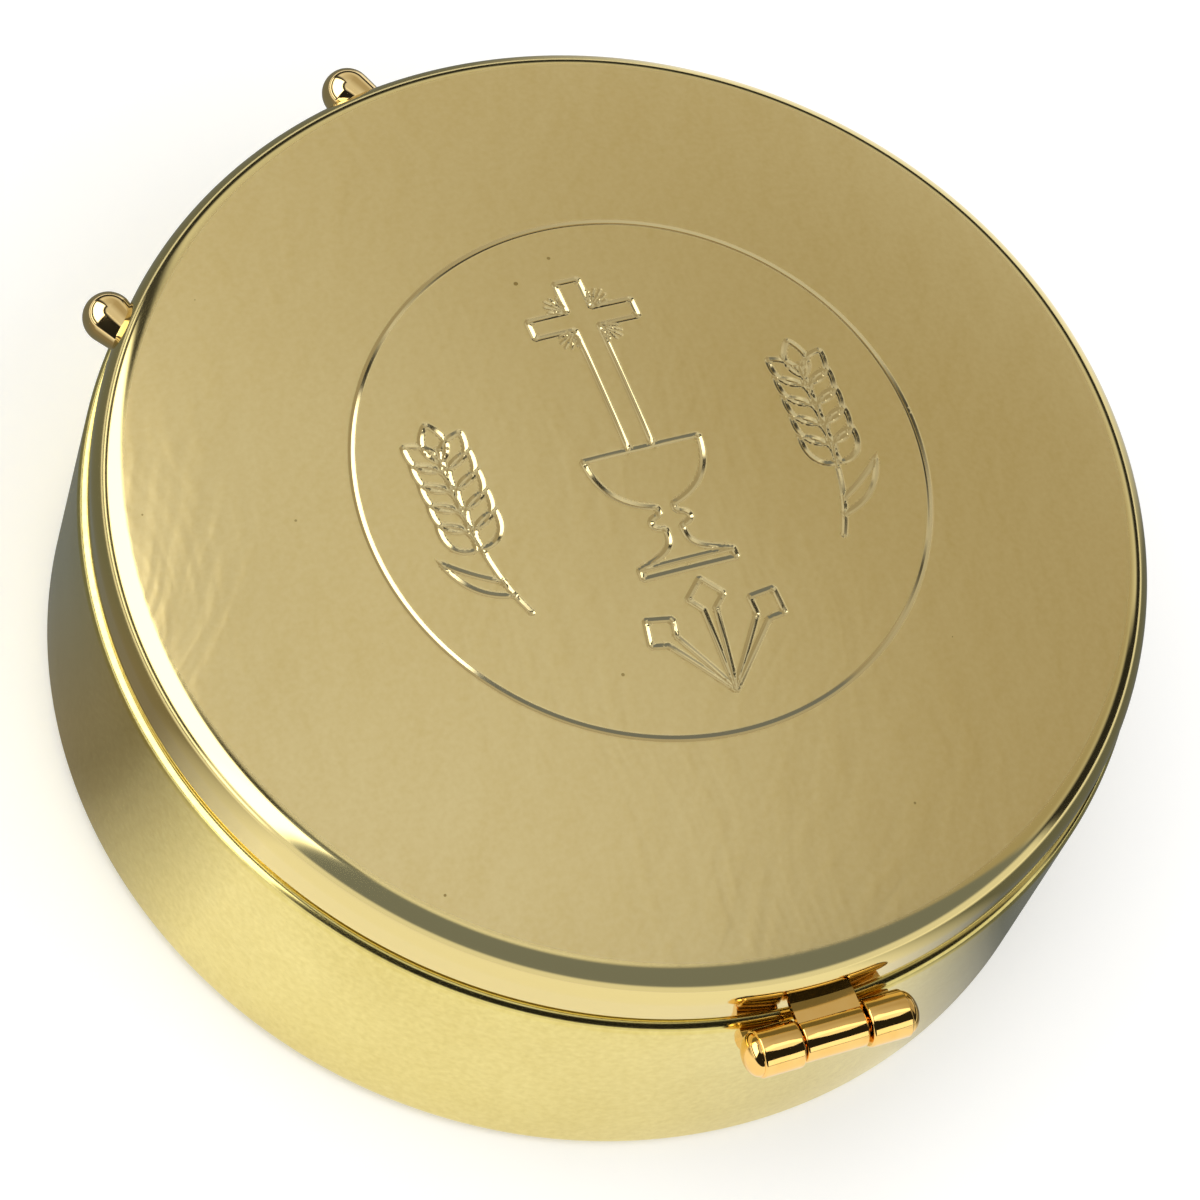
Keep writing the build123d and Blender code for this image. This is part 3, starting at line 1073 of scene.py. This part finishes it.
# %% Dome of cards
room_cards = {
    "ceiling": ((-999, 999), (26, 999), 0.76, (1, 10), "#ffffff"),
    "warm_ceiling": ((30, 252), (8, 80), 0.48, (75, 26), "#fff4dc"),
    "left_glow": ((-178, -80), (52, 92), 0.74, (30, 14), "#ffffff"),
    "camera_flag": ((-50, 104), (-99, 70), 0.02, (5, 5), "#ffffff"),
    "front_strip": ((-50, 100), (70, 78), 1.0, (5, 3), "#ffffff"),
    "far_flag": ((120, 262), (-99, 17), 0.03, (6, 6), "#ffffff"),
    "right_flag": ((80, 135), (-99, 26), 0.03, (6, 6), "#ffffff"),
    "left_flag": ((-130, -23), (-99, 72), 0.06, (6, 4), "#ffffff"),
    "left_low": ((-120, -32), (2, 8), 2.2, (5, 2), "#ffffff"),
    "left_box": ((-118, -28), (14, 61), 3.4, (5, 3), "#ffffff"),
}
# What only the lid sees in front, and what only the cup does
lid_cards = {
    "fill": ((-50, 104), (-99, 70), 0.31, (5, 5), "#d8e4fa"),
    "horizon": ((-50, 104), (-99, 18), 0.95, (5, 6), "#ffffff"),
}
cup_cards = {
    "fill": ((-46, 104), (-99, 70), 0.95, (2, 5), "#ffffff"),
    "seam_line": ((-999, 999), (18, 999), 0.0, (1, 5), "#ffffff"),
}


def glow_at(azimuth, elevation, cards, start):
    """Light of cards laid over a starting level, in one direction, as red, green, blue and alpha."""
    light = Vector((start, start, start))
    for azimuths, elevations, level, feather, tint in cards.values():
        across = max(share_inside(azimuth - turn_back, azimuths, feather[0]) for turn_back in (0, 360))
        cover = min(across, share_inside(elevation, elevations, feather[1]))
        light = light.lerp(Vector(linear(tint)[:3]) * level, cover)
    return (*light, 1.0)


dome_step = 1.5


def dome_part(name, cards, start, azimuths, elevations, dome_size, receivers=None):
    """A piece of the dome between two azimuths and two elevations, on an even grid of degrees."""
    columns = round((azimuths[1] - azimuths[0]) / dome_step)
    rows = round((elevations[1] - elevations[0]) / dome_step)
    points = []
    glows = []
    for i in range(columns + 1):
        for j in range(rows + 1):
            azimuth = azimuths[0] + (azimuths[1] - azimuths[0]) * i / columns
            elevation = elevations[0] + (elevations[1] - elevations[0]) * j / rows
            points.append(direction(camera_azimuth + azimuth, elevation) * dome_size)
            glows.append(glow_at(azimuth, elevation, cards, start))
    glowing_sheet(name, points, glows, columns, rows, receivers=receivers)


dome_part("studio_dome", room_cards, 1.0, (0, 360), (0, 90), 1.0)
fills = (
    ("lid_fill", lid_cards, (lid, collar), 0.98),
    ("cup_fill", cup_cards, (cup,), 0.96),
)
for name, cards, pieces, dome_size in fills:
    receivers = bpy.data.collections.new(name)
    for piece in pieces:
        receivers.objects.link(piece)
    dome_part(name, cards, 0.0, (-51, 105), (0, 75), dome_size, receivers)
print("dome with", len(room_cards), "cards and", len(fills), "fills")

# %% [markdown]
# The upright wall of the box only reflects the floor close by. Grey sheets lie there, two at the left
# and one at the right, as painted shade of the floor beside the box: the camera doesn't see them,
# and they darken the wall's reflection towards its edges.


# %% Painted floor shade, seen only in the wall's reflection
def floor_shade_sheet(name, azimuths, level, feather, tint, lift):
    """A grey sheet of painted floor shade beside the box, between two azimuths, that fades outwards."""
    columns = 48
    rows = 12
    start = wall_radius - cup_corner
    reach = 200 * mm
    glow = (*(Vector(linear(tint)[:3]) * level), 1.0)
    points = []
    fades = []
    for i in range(columns + 1):
        for j in range(rows + 1):
            azimuth = azimuths[0] + (azimuths[1] - azimuths[0]) * i / columns
            out = start + (reach - start) * j / rows
            points.append(direction(camera_azimuth + azimuth, 0) * out + Vector((0, 0, lift)))
            fades.append(min(share_inside(azimuth, azimuths, feather), 2 * (1 - j / rows)))
    glowing_sheet(name, points, [glow] * len(points), columns, rows, fades=fades)


# Painted shade: dark sheets for the floor's shade beside the box, which only the wall's reflection shows
floor_shade_sheet("left_grey", (-170, -27), 0.27, 22, "#f8ecd4", 0.05 * mm)
floor_shade_sheet("left_dark", (-172, -56), 0.25, 20, "#e2e8e2", 0.15 * mm)
floor_shade_sheet("right_grey", (60, 150), 0.18, 20, "#f4fbf6", 0.05 * mm)
print("three grey cards on the floor")

# %% [markdown]
# ## The camera
# The view is from above, tilted over, with a long lens, so the circles of the box are ellipses
# that lean.  The position and the turn come from fitting the rim's circle to its outline.

# %% Camera and view settings
camera_elevation = math.radians(59.31)
roll = math.radians(23.28)
rim_centre = Vector((0, 0, 17.8 * mm))
move_right = 1.58 * mm
move_up = 4.89 * mm
camera_distance = 253.3 * mm
right = Vector((1, 0, 0))
ahead = Vector((0, math.cos(camera_elevation), -math.sin(camera_elevation)))
below = Vector((0, -math.sin(camera_elevation), -math.cos(camera_elevation)))
tilted_right = right * math.cos(roll) - below * math.sin(roll)
tilted_below = right * math.sin(roll) + below * math.cos(roll)
offset = tilted_right * move_right - tilted_below * move_up + ahead * camera_distance
around = Matrix.Rotation(math.radians(camera_azimuth), 3, "Z")

image_pixels = 1200
focal_pixels = 5138
sensor = 36
camera_data = bpy.data.cameras.new("camera")
camera_data.sensor_width = sensor
camera_data.lens = focal_pixels / image_pixels * sensor
camera_data.clip_start = 0.01
camera_data.clip_end = 20
camera = bpy.data.objects.new("camera", camera_data)
axes = Matrix((tilted_right, -tilted_below, -ahead)).transposed()
camera.matrix_world = Matrix.Translation(around @ (rim_centre - offset)) @ (around @ axes).to_4x4()
bpy.context.scene.collection.objects.link(camera)
bpy.context.scene.camera = camera
bpy.context.scene.view_settings.view_transform = "Standard"
print("camera at", [round(c / mm, 1) for c in camera.matrix_world.translation], "mm")
